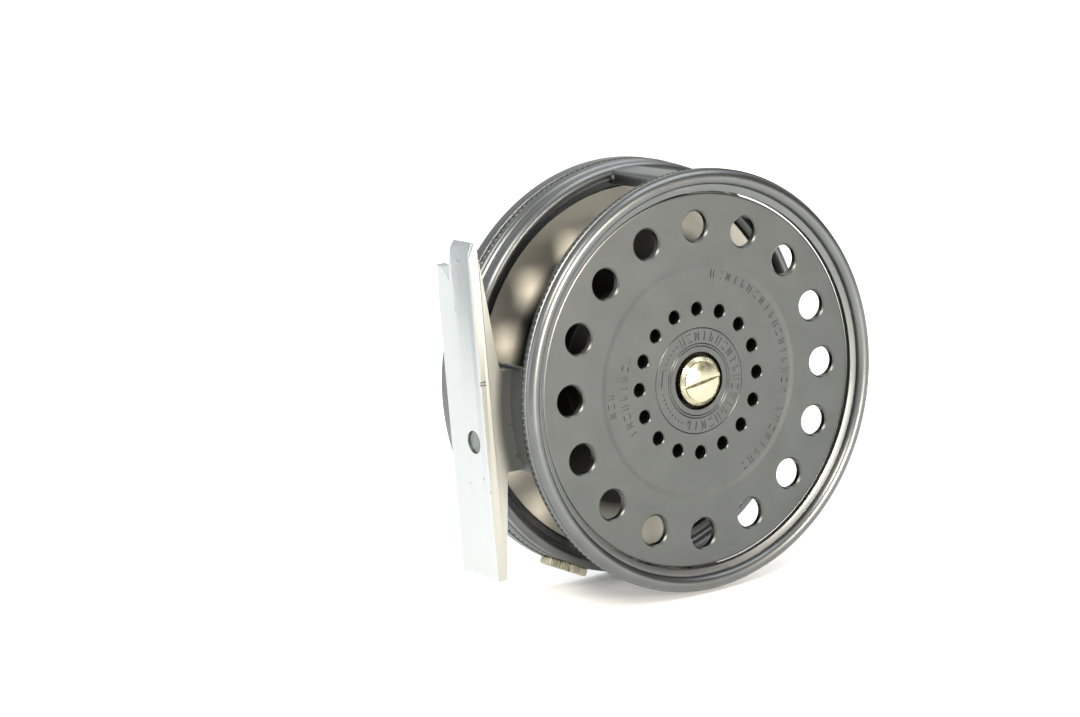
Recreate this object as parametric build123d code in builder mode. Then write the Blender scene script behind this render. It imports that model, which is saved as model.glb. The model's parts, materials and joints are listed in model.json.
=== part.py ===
from build123d import *
from math import atan2, cos, degrees, pi, radians, sin, sqrt
import os

# A narrow caged fly reel. The spindle lies along Y, the drum's face looks to -Y, the winding
# plate and its handle are at +Y, and the foot is at -X with its blade along Z. The origin is on
# the spindle's axis, at half the width of the frame. All sizes are in millimetres.

# Drum
drum_radius = 35.0
drum_face_thickness = 1.3
drum_flange_thickness = 1.2
drum_edge = 0.25                   # chamfer round the face
line_space = 19.3                  # clear width between the drum's two flanges
arbor_radius = 15.8
arbor_wall = 1.2
hub_radius = 7.0
outer_hole_radius = 2.8
outer_hole_inset = 6.1             # from the drum's edge to the hole's centre
outer_hole_chamfer = 0.3
inner_hole_radius = 1.22
inner_hole_inset = 2.3             # from the arbor's surface to the hole's centre
inner_hole_chamfer = 0.2
hole_count = 16
first_hole_angle = -3.5
dish_radius = 21.5                 # the middle of the face is turned down this far out
dish_depth = 0.12

# Centre screw
screw_head_radius = 4.65
screw_head_height = 1.7            # straight, milled part of the head
screw_dome_height = 1.1
screw_recess_radius = 5.35
screw_recess_depth = 1.4
screw_web = 1.4                    # metal of the hub that the head clamps
screw_radius = 1.9
screw_reach = 6.0                  # length of thread inside the spindle
screw_slot_width = 0.75
screw_slot_depth = 0.8
screw_slot_angle = 8.0
clip_radius = 2.9
clip_thickness = 0.4
clip_groove = 0.3
clip_mouth = 2.6

# Frame
ring_depth = 4.34                  # radial depth of the rims
face_recess = 2.3                  # the drum's face lies this far behind the bead
ring_lip = 0.25                    # land behind the ring's milled band
rim_forward = 2.4                  # the handle-side rim starts this far before the flange
rim_wall = 2.9                     # wall round the winding plate
check_plate_thickness = 1.2
bead_radius = 1.35
bead_margin = 0.39                 # from the largest radius to the bead
milled_depth = 0.36                # depth of the turned seat of the milled bands
milled_width = 1.1
line_height = 0.2                  # of the fine turned lines
land = 0.12                        # the ring's turned lands are this far below the largest radius
rim_band = 2.7                     # smooth band behind the rim's milled band
pillar_angle = 90.0                # of the first of the two pillars, which stand opposite
pillar_width = 6.4
pillar_thickness = 2.7
pillar_inset = 1.1                 # from the largest radius to a pillar's flat outside
bridge_thickness = 2.1
bridge_inset = 1.89                # from the largest radius to the bridge's outside
bridge_margin = 0.6                # the bridge reaches this far past the neck

# Foot
foot_width = 11.8
foot_top = 32.5                    # the blade's ends, along Z
foot_bottom = -30.0
foot_height = 43.6                 # from the spindle's axis to the blade's rod side
neck_top = 8.5
neck_bottom = -10.3
foot_root_top = 4.2                # the blade's thickness beside the neck
foot_root_bottom = 4.0
foot_tip_top = 1.5                 # the blade's thickness at its ends
foot_tip_bottom = 1.8
foot_hollow = 0.45                 # depth of the rod side's lengthwise hollow
foot_nose_radius = 4.4
rivet_radius = 1.45
rivet_head_radius = 2.15
rivet_head_depth = 1.2
rivet_sink = 0.9                   # the closed end lies this far below the rod side
rivet_inner_head = 0.7
rivet_low = (-1.1, -4.6)           # Y and Z of the rivet that shows
rivet_high = (1.1, 4.6)            # Y and Z of the blind rivet
rivet_high_depth = 3.5             # of the blind rivet in the foot

# Winding plate and handle
winding_thickness = 1.5
winding_lip = 1.2                  # depth of the winding plate inside the rim
plate_edge = 0.3
plate_border = 1.6
plate_recess = 0.3
boss_radius = 8.5
boss_height = 1.1
handle_inset = 9.0                 # from the winding plate's edge to the handle's axis
handle_angle = -38.0
handle_pad_radius = 4.6
handle_pad_height = 0.5
stud_radius = 1.6
stud_head_radius = 2.5
stud_head_height = 0.9
washer_thickness = 0.3
ferrule_length = 1.6
ferrule_radius = 4.1
grip_length = 19.0
grip_base_radius = 3.9
grip_waist_radius = 3.5
grip_belly_radius = 5.4
grip_end_radius = 4.3
grip_end_round = 0.6
grip_recess_depth = 1.0

# Spindle and ball race
spindle_radius = 3.0
spindle_end_chamfer = 0.4
bush_wall = 0.85
ball_radius = 1.2
ball_circle = 9.0
ball_count = 14
race_land = 0.6                    # from the ball circle to a race's land
cup_wall = 2.4
cup_boss_wall = 1.4
retainer_wall = 0.7
retainer_width = 3.0
drive_pin_radius = 0.8
drive_pin_circle = 5.2
drive_pin_reach = 1.8

# Check
check_space = 2.2                  # between the check plate and the winding plate
wheel_thickness = 1.7
wheel_ring_width = 2.9             # from the wheel's bore to its tips
wheel_bore_gap = 0.9               # from the cup's boss to the wheel's bore
wheel_tooth_depth = 0.8
wheel_gap_half = 0.85              # half the width of a gap between the wheel's tips
wheel_teeth = 48
wheel_screw_count = 3
wheel_screw_radius = 0.6
wheel_screw_head = 1.2
wheel_screw_angle = 30.0
pawl_swing = 6.6                   # degrees, from clear of the wheel to full mesh
pawl_thickness = 1.5
pawl_arm = 6.5                     # from the pawl's nose to its pivot, along the wheel
pawl_pivot_out = 2.2               # from the nose to the pivot, away from the wheel
pawl_post_radius = 1.1
pawl_eye_wall = 0.9
pawl_nose_half = 0.5
pawl_nose_depth = 0.9
pawl_back = 2.9                    # depth of the pawl behind its nose
spring_thickness = 0.4
spring_height = 1.4
spring_gap = 9.0                   # between the spring's two arms
spring_arm = 8.0
spring_tip = 0.8                   # the inner arm ends this far past the nose
spring_post_radius = 1.5

# Check regulator
regulator_angle = 243.4
regulator_plate_overlap = 0.3      # its stem's axis stands this far above the check plate
regulator_radius = 4.6
regulator_thickness = 1.7
regulator_teeth = 44
regulator_tooth_depth = 0.25
regulator_seat = 0.79              # depth of its spot face in the rim
regulator_feed = 0.2               # how far it can still be screwed in
regulator_stem_radius = 1.0
regulator_slot_width = 0.6
regulator_slot_depth = 0.5
shoe_width = 3.2
shoe_depth = 1.3

# Clearances
drum_clearance = 0.35              # drum in the rims
drum_end_gap = 0.5                 # drum's flange to the check plate
winding_clearance = 0.4            # winding plate in its rim
running_clearance = 0.05           # shafts in their holes, balls in their races
pin_clearance = 0.08               # drive pins in the drum
thread_clearance = 0.05
spring_clearance = 0.06            # spring to what it bears on
pawl_clearance = 0.18              # pawl's nose outside the wheel's tips, at rest
side_clearance = 0.3               # flat faces that pass each other
side_gap = 0.05                    # flat faces that all but touch
cone_gap = 0.2                     # cone's end to the drum

# Places along the spindle, from the drum's face to the winding plate
frame_width = (face_recess + drum_face_thickness + line_space + drum_flange_thickness
               + drum_end_gap + check_plate_thickness + check_space + winding_lip)
frame_front = -frame_width / 2
frame_back = frame_width / 2
drum_front = frame_front + face_recess
face_back = drum_front + drum_face_thickness
flange_front = face_back + line_space
flange_back = flange_front + drum_flange_thickness
check_plate_front = flange_back + drum_end_gap
check_plate_back = check_plate_front + check_plate_thickness
winding_front = check_plate_back + check_space
winding_back = winding_front + winding_thickness
rim_front = flange_front - rim_forward
ring_bead = frame_front + bead_radius
rim_bead = rim_front + bead_radius
ring_milled = ring_bead + line_height
ring_back = ring_milled + milled_width + ring_lip
rim_milled = frame_back - rim_band - milled_width

# Places across the spindle
frame_bore = drum_radius + drum_clearance
rim_radius = frame_bore + ring_depth
rim_bore = rim_radius - rim_wall
winding_radius = rim_bore - winding_clearance
bead_circle = rim_radius - bead_margin - bead_radius
seat_radius = rim_radius - milled_depth
pillar_circle = rim_radius - pillar_inset - pillar_thickness / 2
bridge_radius = rim_radius - bridge_inset
outer_hole_circle = drum_radius - outer_hole_inset
inner_hole_circle = arbor_radius - inner_hole_inset
handle_circle = winding_radius - handle_inset
rivet_inside = -sqrt(
    (bridge_radius - bridge_thickness) ** 2 - (rivet_high[1] - rivet_head_radius) ** 2
)

# Ball race
cone_radius = ball_circle - race_land
cup_radius = ball_circle + race_land + cup_wall
boss_wall_radius = cup_radius + cup_boss_wall
race_back = winding_front - side_clearance
race_centre = (check_plate_front + race_back) / 2
cone_front = flange_back + cone_gap

# The check works in its own plane: local y points out along the regulator's axis, and local x
# runs along the rim. Its pieces are placed from the pawl's nose, which points at the spindle.
out_x = cos(radians(regulator_angle))
out_z = sin(radians(regulator_angle))
check_front = check_plate_back + side_clearance
wheel_bore = boss_wall_radius + wheel_bore_gap
wheel_tip = wheel_bore + wheel_ring_width
wheel_root = wheel_tip - wheel_tooth_depth
nose_out = wheel_tip + pawl_clearance
pivot_out = nose_out + pawl_pivot_out
spring_inner = nose_out + pawl_back + spring_clearance + spring_thickness / 2
spring_outer = spring_inner + spring_gap
shoe_in = spring_outer + spring_thickness / 2 + spring_clearance + regulator_feed
shoe_out = shoe_in + shoe_depth
regulator_y = check_plate_back + regulator_plate_overlap
regulator_in = rim_radius - regulator_seat + regulator_feed + spring_clearance
regulator_out = regulator_in + regulator_thickness


def across(y):
    """Plane square to the spindle at y, with its local x along X and its local y along Z."""
    return Plane.XZ.offset(-y)


def check_plane(y):
    """Plane of the check at y."""
    return Plane(origin=(0, y, 0), x_dir=(out_z, 0, -out_x), z_dir=(0, -1, 0))


def regulator_plane(radius):
    """Plane square to the regulator's axis, this far from the spindle."""
    outward = Plane(origin=(0, regulator_y, 0), x_dir=(0, 1, 0), z_dir=(out_x, 0, out_z))
    return outward.offset(radius)


def save(piece, label):
    """Label a finished piece and write it."""
    piece.part.label = label
    export_step(piece.part, f"parts/{label}.step")


os.makedirs("parts", exist_ok=True)

# ---------------------------------------------------------------- frame
# The drum-side ring, the handle-side rim with its check plate, the pillars and the bridge under
# the foot are one casting.
bead_outer = bead_circle + bead_radius
bead_inner = bead_circle - bead_radius

with BuildPart() as frame:
    with BuildSketch(Plane.XY):
        with BuildLine():
            ring_lines = Polyline(
                (bead_outer, ring_bead),
                (rim_radius - line_height, ring_milled - land),
                (rim_radius - land, ring_milled),
                (seat_radius, ring_milled),
                (seat_radius, ring_milled + milled_width),
                (rim_radius - land, ring_milled + milled_width),
                (rim_radius - 2 * line_height, ring_back),
                (frame_bore, ring_back),
                (frame_bore, ring_bead + 2 * line_height),
                (bead_inner, ring_bead + line_height),
                (bead_inner, ring_bead),
            )
            ThreePointArc(ring_lines @ 1, (bead_circle, frame_front), ring_lines @ 0)
        make_face()
    revolve(axis=Axis.Y)

    with BuildSketch(Plane.XY):
        with BuildLine():
            rim_lines = Polyline(
                (bead_outer, rim_bead),
                (bead_outer, rim_bead + 0.95),
                (seat_radius - line_height, rim_bead + 1.25),
                (seat_radius - line_height, rim_bead + 1.45),
                (rim_radius - line_height, rim_bead + 1.75),
                (rim_radius - line_height, rim_bead + 2.25),
                (seat_radius - line_height, rim_bead + 2.45),
                (seat_radius - line_height, rim_bead + 2.65),
                (rim_radius - line_height, rim_bead + 2.85),
                (rim_radius - line_height, rim_milled),
                (seat_radius, rim_milled),
                (seat_radius, rim_milled + milled_width),
                (rim_radius, rim_milled + milled_width),
                (rim_radius, frame_back - plate_edge),
                (rim_radius - plate_edge, frame_back),
                (rim_bore + plate_edge, frame_back),
                (rim_bore, frame_back - plate_edge),
                (rim_bore, check_plate_back),
                (boss_wall_radius, check_plate_back),
                (boss_wall_radius, race_back),
                (cup_radius, race_back),
                (cup_radius, check_plate_front),
                (frame_bore, check_plate_front),
                (frame_bore, rim_bead + 2 * line_height),
                (bead_inner, rim_bead + line_height),
                (bead_inner, rim_bead),
            )
            ThreePointArc(rim_lines @ 1, (bead_circle, rim_front), rim_lines @ 0)
        make_face()
    revolve(axis=Axis.Y)

    # Pillars run from inside the ring to inside the rim.
    with BuildSketch(across(rim_bead)):
        with PolarLocations(pillar_circle, 2, start_angle=pillar_angle):
            RectangleRounded(pillar_thickness, pillar_width, pillar_thickness / 4)
    extrude(amount=rim_bead - ring_milled)

    # The bridge under the foot is part of a cylinder, cut off above and below the neck.
    with BuildSketch(across(rim_bead)):
        Circle(bridge_radius)
        Circle(bridge_radius - bridge_thickness, mode=Mode.SUBTRACT)
        with Locations((-bridge_radius, (neck_top + neck_bottom) / 2)):
            Rectangle(bridge_radius, neck_top - neck_bottom + 2 * bridge_margin,
                      mode=Mode.INTERSECT)
    extrude(amount=rim_bead - ring_milled)

    # Rivet holes through the bridge, counterbored inside so that their heads lie below it.
    with BuildSketch(Plane.YZ.offset(-bridge_radius - bridge_thickness)):
        with Locations(rivet_low, rivet_high):
            Circle(rivet_radius)
    extrude(amount=3 * bridge_thickness, mode=Mode.SUBTRACT)
    with BuildSketch(Plane.YZ.offset(rivet_inside - rivet_inner_head)):
        with Locations(rivet_low, rivet_high):
            Circle(rivet_head_radius)
    extrude(amount=2 * bridge_thickness, mode=Mode.SUBTRACT)

    # The regulator has a spot face and a threaded hole in the rim, and its stem and shoe lie in
    # a groove of the check plate.
    with BuildSketch(regulator_plane(rim_radius - regulator_seat)):
        Circle(regulator_radius + side_clearance)
    extrude(amount=2 * regulator_seat, mode=Mode.SUBTRACT)
    with BuildSketch(regulator_plane(shoe_in - side_clearance)):
        Circle(regulator_stem_radius + thread_clearance)
    extrude(amount=rim_radius - shoe_in, mode=Mode.SUBTRACT)
save(frame, "frame")

# ---------------------------------------------------------------- foot
with BuildPart() as reel_foot:
    with BuildSketch(Plane.XZ.offset(-foot_width / 2)):
        with BuildLine():
            Polyline(
                (-foot_height, foot_top),
                (-foot_height, foot_bottom),
                (-foot_height + foot_tip_bottom, foot_bottom),
                (-foot_height + foot_root_bottom, neck_bottom),
                (-foot_height + foot_root_top, neck_top),
                (-foot_height + foot_tip_top, foot_top),
                close=True,
            )
        make_face()
    extrude(amount=foot_width)

    nose_corners = (
        reel_foot.edges()
        .filter_by(Axis.X)
        .filter_by(lambda edge: edge.center().Z > foot_top - foot_nose_radius / 4)
    )
    fillet(nose_corners, radius=foot_nose_radius)

    # The neck is as wide as the space in front of the rim, and sits on the bridge.
    with BuildSketch(across(rim_front)):
        with BuildLine():
            saddle_top = (-sqrt(bridge_radius**2 - neck_top**2), neck_top)
            saddle_bottom = (-sqrt(bridge_radius**2 - neck_bottom**2), neck_bottom)
            Polyline(
                saddle_top,
                (-foot_height + foot_root_top / 2, neck_top),
                (-foot_height + foot_root_bottom / 2, neck_bottom),
                saddle_bottom,
            )
            ThreePointArc(saddle_bottom, (-bridge_radius, 0), saddle_top)
        make_face()
    extrude(amount=2 * rim_front)

    # The rod side is hollowed lengthwise to lie on the reel seat.
    hollow_radius = ((foot_width / 2) ** 2 + foot_hollow**2) / (2 * foot_hollow)
    with BuildSketch(Plane.XY.offset(foot_bottom)):
        with Locations((-foot_height + foot_hollow - hollow_radius, 0)):
            Circle(hollow_radius)
    extrude(amount=foot_top - foot_bottom, mode=Mode.SUBTRACT)

    with BuildSketch(Plane.YZ.offset(-foot_height)):
        with Locations(rivet_low):
            Circle(rivet_radius)
    extrude(amount=foot_height, mode=Mode.SUBTRACT)
    with BuildSketch(Plane.YZ.offset(-foot_height)):
        with Locations(rivet_low):
            Circle(rivet_head_radius)
    extrude(amount=rivet_sink + rivet_head_depth, mode=Mode.SUBTRACT)
    with BuildSketch(Plane.YZ.offset(-bridge_radius - rivet_high_depth)):
        with Locations(rivet_high):
            Circle(rivet_radius)
    extrude(amount=foot_height, mode=Mode.SUBTRACT)
save(reel_foot, "reel_foot")

rivet_floor = -foot_height + rivet_sink
with BuildPart() as foot_rivets:
    # The rivet that shows is closed in a counterbore of the rod side.
    with BuildSketch(Plane.YZ.offset(rivet_floor)):
        with Locations(rivet_low):
            Circle(rivet_head_radius)
    extrude(amount=rivet_head_depth)
    with BuildSketch(Plane.YZ.offset(rivet_floor)):
        with Locations(rivet_low):
            Circle(rivet_radius)
    extrude(amount=rivet_inside - rivet_floor)
    # The blind one stops inside the neck.
    with BuildSketch(Plane.YZ.offset(-bridge_radius - rivet_high_depth)):
        with Locations(rivet_high):
            Circle(rivet_radius)
    extrude(amount=rivet_inside + bridge_radius + rivet_high_depth)
    # Both have a low head let into the bridge.
    with BuildSketch(Plane.YZ.offset(rivet_inside - rivet_inner_head)):
        with Locations(rivet_low, rivet_high):
            Circle(rivet_head_radius)
    extrude(amount=rivet_inner_head)
save(foot_rivets, "foot_rivets")

# ---------------------------------------------------------------- drum
bush_radius = spindle_radius + running_clearance + bush_wall
recess_floor = drum_front + screw_recess_depth
clip_seat = recess_floor + screw_web
clip_back = clip_seat + clip_thickness + 2 * side_gap
spindle_front = clip_back + side_clearance

with BuildPart() as drum:
    with BuildSketch(Plane.XY):
        with BuildLine():
            Polyline(
                (screw_radius + thread_clearance, recess_floor),
                (screw_recess_radius, recess_floor),
                (screw_recess_radius, drum_front + dish_depth),
                (dish_radius, drum_front + dish_depth),
                (dish_radius + 5 * dish_depth, drum_front),
                (drum_radius - drum_edge, drum_front),
                (drum_radius, drum_front + drum_edge),
                (drum_radius, face_back),
                (arbor_radius, face_back),
                (arbor_radius, flange_front),
                (drum_radius, flange_front),
                (drum_radius, flange_back),
                (bush_radius, flange_back),
                (bush_radius, clip_seat),
                (screw_radius + thread_clearance, clip_seat),
                close=True,
            )
        make_face()
    revolve(axis=Axis.Y)

    # The arbor is hollow round the hub.
    with BuildSketch(across(flange_front)):
        Circle(arbor_radius - arbor_wall)
        Circle(hub_radius, mode=Mode.SUBTRACT)
    extrude(amount=line_space, mode=Mode.SUBTRACT)

    # Two rings of holes go through the face, and their rims are chamfered.
    with BuildSketch(across(face_back)):
        with PolarLocations(outer_hole_circle, hole_count, start_angle=first_hole_angle):
            Circle(outer_hole_radius)
    extrude(amount=drum_face_thickness, mode=Mode.SUBTRACT)
    with BuildSketch(across(face_back)):
        with PolarLocations(inner_hole_circle, hole_count, start_angle=first_hole_angle):
            Circle(inner_hole_radius)
    extrude(amount=drum_face_thickness, mode=Mode.SUBTRACT)
    front_edges = (
        drum.edges()
        .filter_by(GeomType.CIRCLE)
        .filter_by(lambda edge: edge.center().Y < drum_front + 2 * dish_depth)
    )
    chamfer(
        front_edges.filter_by(lambda edge: abs(edge.radius - outer_hole_radius) < side_gap),
        length=outer_hole_chamfer,
    )
    chamfer(
        front_edges.filter_by(lambda edge: abs(edge.radius - inner_hole_radius) < side_gap),
        length=inner_hole_chamfer,
    )

    # Holes for the drive pins.
    with BuildSketch(across(flange_back)):
        with PolarLocations(drive_pin_circle, 2):
            Circle(drive_pin_radius + pin_clearance)
    extrude(amount=drive_pin_reach + side_clearance, mode=Mode.SUBTRACT)
save(drum, "drum")

with BuildPart() as drum_bush:
    with BuildSketch(across(flange_back)):
        Circle(bush_radius)
        Circle(spindle_radius + running_clearance, mode=Mode.SUBTRACT)
    extrude(amount=flange_back - spindle_front)
save(drum_bush, "drum_bush")

screw_shoulder = recess_floor - screw_head_height
screw_end = spindle_front + screw_reach
dome_radius = (screw_head_radius**2 + screw_dome_height**2) / (2 * screw_dome_height)
with BuildPart() as drum_screw:
    with BuildSketch(Plane.XY):
        with BuildLine():
            screw_lines = Polyline(
                (0, screw_shoulder - screw_dome_height),
                (0, screw_end),
                (screw_radius - clip_groove, screw_end),
                (screw_radius, screw_end - clip_groove),
                (screw_radius, clip_back),
                (screw_radius - clip_groove, clip_back),
                (screw_radius - clip_groove, clip_seat),
                (screw_radius, clip_seat),
                (screw_radius, recess_floor),
                (screw_head_radius, recess_floor),
                (screw_head_radius, screw_shoulder),
            )
            CenterArc((0, screw_shoulder - screw_dome_height + dome_radius), dome_radius, -90,
                      degrees(atan2(screw_head_radius, dome_radius - screw_dome_height)))
        make_face()
    revolve(axis=Axis.Y)
    with BuildSketch(across(screw_shoulder - screw_dome_height + screw_slot_depth)):
        Rectangle(3 * screw_head_radius, screw_slot_width, rotation=screw_slot_angle)
    extrude(amount=2 * screw_slot_depth, mode=Mode.SUBTRACT)
save(drum_screw, "drum_screw")

with BuildPart() as screw_clip:
    with BuildSketch(across(clip_seat + side_gap + clip_thickness)):
        Circle(clip_radius)
        Circle(screw_radius - clip_groove + side_gap, mode=Mode.SUBTRACT)
        with Locations((clip_radius, 0)):
            Rectangle(2 * clip_radius, clip_mouth, mode=Mode.SUBTRACT)
    extrude(amount=clip_thickness)
save(screw_clip, "screw_clip")

# ---------------------------------------------------------------- spindle and ball race
boss_back = winding_back + boss_height

with BuildPart() as spindle:
    with BuildSketch(across(boss_back)):
        Circle(spindle_radius)
    extrude(amount=boss_back - spindle_front)
    with BuildSketch(across(screw_end + side_clearance)):
        Circle(screw_radius + thread_clearance)
    extrude(amount=screw_end + side_clearance - spindle_front, mode=Mode.SUBTRACT)
    chamfer(spindle.edges().group_by(Axis.Y)[-1], length=spindle_end_chamfer)
save(spindle, "spindle")

with BuildPart() as bearing_cone:
    with BuildSketch(Plane.XY):
        with Locations((spindle_radius, cone_front)):
            Rectangle(cone_radius - spindle_radius, winding_front - cone_front,
                      align=(Align.MIN, Align.MIN))
        with Locations((ball_circle, race_centre)):
            Circle(ball_radius + running_clearance, mode=Mode.SUBTRACT)
    revolve(axis=Axis.Y)
    with BuildSketch(across(winding_front)):
        with PolarLocations(drive_pin_circle, 2):
            Circle(drive_pin_radius)
    extrude(amount=winding_front - cone_front, mode=Mode.SUBTRACT)
save(bearing_cone, "bearing_cone")

with BuildPart() as drive_pins:
    with BuildSketch(across(winding_front)):
        with PolarLocations(drive_pin_circle, 2):
            Circle(drive_pin_radius)
    extrude(amount=winding_front - flange_back + drive_pin_reach)
save(drive_pins, "drive_pins")

with BuildPart() as bearing_cup:
    with BuildSketch(Plane.XY):
        with Locations((cup_radius, check_plate_front)):
            Rectangle(cup_wall, race_back - check_plate_front, align=(Align.MAX, Align.MIN))
        with Locations((ball_circle, race_centre)):
            Circle(ball_radius + running_clearance, mode=Mode.SUBTRACT)
    revolve(axis=Axis.Y)
save(bearing_cup, "bearing_cup")

with BuildPart() as ball_retainer:
    with BuildSketch(across(race_centre + retainer_width / 2)):
        Circle(ball_circle + retainer_wall / 2)
        Circle(ball_circle - retainer_wall / 2, mode=Mode.SUBTRACT)
    extrude(amount=retainer_width)
    for ball in range(ball_count):
        turn = 2 * pi * ball / ball_count
        with BuildSketch(Plane(origin=(0, race_centre, 0), z_dir=(cos(turn), 0, sin(turn)))):
            Circle(ball_radius + running_clearance)
        extrude(amount=ball_circle + retainer_wall, mode=Mode.SUBTRACT)
save(ball_retainer, "ball_retainer")

with BuildPart() as bearing_balls:
    with Locations(across(race_centre)):
        with PolarLocations(ball_circle, ball_count):
            Sphere(ball_radius)
save(bearing_balls, "bearing_balls")

# ---------------------------------------------------------------- winding plate
handle_x = handle_circle * cos(radians(handle_angle))
handle_z = handle_circle * sin(radians(handle_angle))
pad_back = winding_back + handle_pad_height
plate_floor = winding_back - plate_recess
wheel_screw_circle = (wheel_bore + wheel_root) / 2

with BuildPart() as winding_plate:
    with BuildSketch(Plane.XY):
        with BuildLine():
            Polyline(
                (spindle_radius, winding_front),
                (winding_radius, winding_front),
                (winding_radius, winding_back - plate_edge),
                (winding_radius - plate_edge, winding_back),
                (winding_radius - plate_border, winding_back),
                (winding_radius - plate_border - plate_recess, plate_floor),
                (boss_radius + plate_border, plate_floor),
                (boss_radius, winding_back),
                (boss_radius - plate_edge, boss_back),
                (spindle_radius, boss_back),
                close=True,
            )
        make_face()
    revolve(axis=Axis.Y)
    with BuildSketch(across(pad_back)):
        with Locations((handle_x, handle_z)):
            Circle(handle_pad_radius)
    extrude(amount=pad_back - winding_front)
    with BuildSketch(across(pad_back)):
        with Locations((handle_x, handle_z)):
            Circle(stud_radius)
    extrude(amount=pad_back - winding_front, mode=Mode.SUBTRACT)
    with BuildSketch(across(winding_back)):
        with PolarLocations(wheel_screw_circle, wheel_screw_count, start_angle=wheel_screw_angle):
            Circle(wheel_screw_radius)
    extrude(amount=winding_thickness, mode=Mode.SUBTRACT)
    with BuildSketch(across(winding_back)):
        with PolarLocations(wheel_screw_circle, wheel_screw_count, start_angle=wheel_screw_angle):
            Circle(wheel_screw_head)
    extrude(amount=plate_recess + wheel_screw_radius, mode=Mode.SUBTRACT)
save(winding_plate, "winding_plate")

with BuildPart() as check_wheel_screws:
    with BuildSketch(across(plate_floor)):
        with PolarLocations(wheel_screw_circle, wheel_screw_count, start_angle=wheel_screw_angle):
            Circle(wheel_screw_head)
    extrude(amount=wheel_screw_radius)
    with BuildSketch(across(plate_floor - wheel_screw_radius)):
        with PolarLocations(wheel_screw_circle, wheel_screw_count, start_angle=wheel_screw_angle):
            Circle(wheel_screw_radius)
    extrude(amount=plate_floor - wheel_screw_radius - winding_front + wheel_thickness)
    with BuildSketch(across(plate_floor)):
        with PolarLocations(wheel_screw_circle, wheel_screw_count, start_angle=wheel_screw_angle):
            Rectangle(2 * wheel_screw_head, wheel_screw_radius / 2)
    extrude(amount=wheel_screw_radius / 2, mode=Mode.SUBTRACT)
save(check_wheel_screws, "check_wheel_screws")

# ---------------------------------------------------------------- handle
handle_axis = Axis((handle_x, 0, handle_z), (0, 1, 0))
handle_plane = Plane(origin=(handle_x, 0, handle_z), x_dir=(1, 0, 0), z_dir=(0, 0, 1))
grip_bore = stud_radius + running_clearance
ferrule_front = pad_back + side_clearance
grip_front = ferrule_front + ferrule_length
grip_back = grip_front + grip_length
washer_front = grip_back - grip_recess_depth + side_gap
stud_head_front = washer_front + washer_thickness + side_gap

with BuildPart() as handle_grip:
    with BuildSketch(handle_plane):
        with BuildLine():
            Polyline(
                (grip_end_radius - grip_end_round, grip_back),
                (stud_head_radius + side_clearance, grip_back),
                (stud_head_radius + side_clearance, grip_back - grip_recess_depth),
                (grip_bore, grip_back - grip_recess_depth),
                (grip_bore, grip_front),
                (grip_base_radius, grip_front),
            )
            Spline(
                (grip_base_radius, grip_front),
                (grip_waist_radius, grip_front + 0.25 * grip_length),
                (grip_belly_radius, grip_front + 0.72 * grip_length),
                (grip_end_radius, grip_back - grip_end_round),
                (grip_end_radius - grip_end_round, grip_back),
            )
        make_face()
    revolve(axis=handle_axis)
save(handle_grip, "handle_grip")

with BuildPart() as handle_ferrule:
    with BuildSketch(handle_plane):
        with BuildLine():
            Polyline(
                (grip_bore, ferrule_front),
                (ferrule_radius - plate_edge, ferrule_front),
                (ferrule_radius, ferrule_front + plate_edge),
                (ferrule_radius, grip_front - plate_edge),
                (ferrule_radius - plate_edge, grip_front),
                (grip_bore, grip_front),
                close=True,
            )
        make_face()
    revolve(axis=handle_axis)
save(handle_ferrule, "handle_ferrule")

with BuildPart() as handle_stud:
    with BuildSketch(across(stud_head_front)):
        with Locations((handle_x, handle_z)):
            Circle(stud_radius)
    extrude(amount=stud_head_front - winding_front)
    with BuildSketch(across(stud_head_front + stud_head_height)):
        with Locations((handle_x, handle_z)):
            Circle(stud_head_radius)
    extrude(amount=stud_head_height)
    fillet(handle_stud.edges().group_by(Axis.Y)[-1], radius=stud_head_height / 2)
save(handle_stud, "handle_stud")

with BuildPart() as handle_washer:
    with BuildSketch(across(washer_front + washer_thickness)):
        with Locations((handle_x, handle_z)):
            Circle(stud_head_radius)
            Circle(grip_bore, mode=Mode.SUBTRACT)
    extrude(amount=washer_thickness)
save(handle_washer, "handle_washer")

# ---------------------------------------------------------------- check
# Swung in, the pawl's nose sits in the middle of a gap between two of the wheel's teeth.
swing = radians(pawl_swing)
nose_along = pawl_arm - pawl_arm * cos(swing) + pawl_pivot_out * sin(swing)
nose_down = pivot_out - pawl_arm * sin(swing) - pawl_pivot_out * cos(swing)
gap_angle = regulator_angle - degrees(atan2(nose_along, nose_down))
gap_slope = wheel_gap_half / wheel_tooth_depth

with BuildPart() as check_wheel:
    with BuildSketch(across(winding_front)):
        Circle(wheel_tip)
        Circle(wheel_bore, mode=Mode.SUBTRACT)
        with PolarLocations(wheel_root, wheel_teeth, start_angle=gap_angle):
            Polygon(
                (0, 0),
                (2 * wheel_tooth_depth, 2 * wheel_tooth_depth * gap_slope),
                (2 * wheel_tooth_depth, -2 * wheel_tooth_depth * gap_slope),
                align=None,
                mode=Mode.SUBTRACT,
            )
        with PolarLocations(wheel_screw_circle, wheel_screw_count, start_angle=wheel_screw_angle):
            Circle(wheel_screw_radius, mode=Mode.SUBTRACT)
    extrude(amount=wheel_thickness)
save(check_wheel, "check_wheel")

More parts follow.
